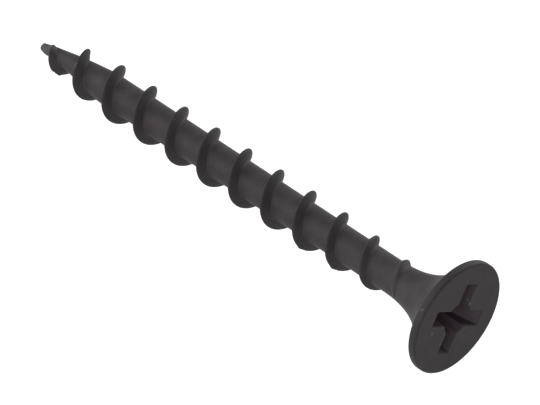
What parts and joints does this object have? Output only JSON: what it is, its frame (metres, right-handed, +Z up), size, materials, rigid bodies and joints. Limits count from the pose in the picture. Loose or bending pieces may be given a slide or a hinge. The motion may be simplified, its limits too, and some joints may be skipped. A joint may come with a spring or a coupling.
{
  "type": "coarse-thread bugle-head screw",
  "caption": "Self-tapping screw with a coarse right-hand thread, bugle head, cross recess and pinched point, in black phosphated steel.",
  "frame": {"origin": "centre of the flat head face, on the screw's axis, level with the face", "axes": "+X points out of the head along the screw's axis, the point is at the far end of -X, and +Z is up with the screw lying down"},
  "size_m": [0.0364, 0.0078, 0.0078],
  "materials": {
    "black_phosphate_steel": "matte black phosphate over hardened steel, lightly oiled"
  },
  "bodies": {
    "root": {"screw": "black_phosphate_steel"}
  },
  "joints": []
}
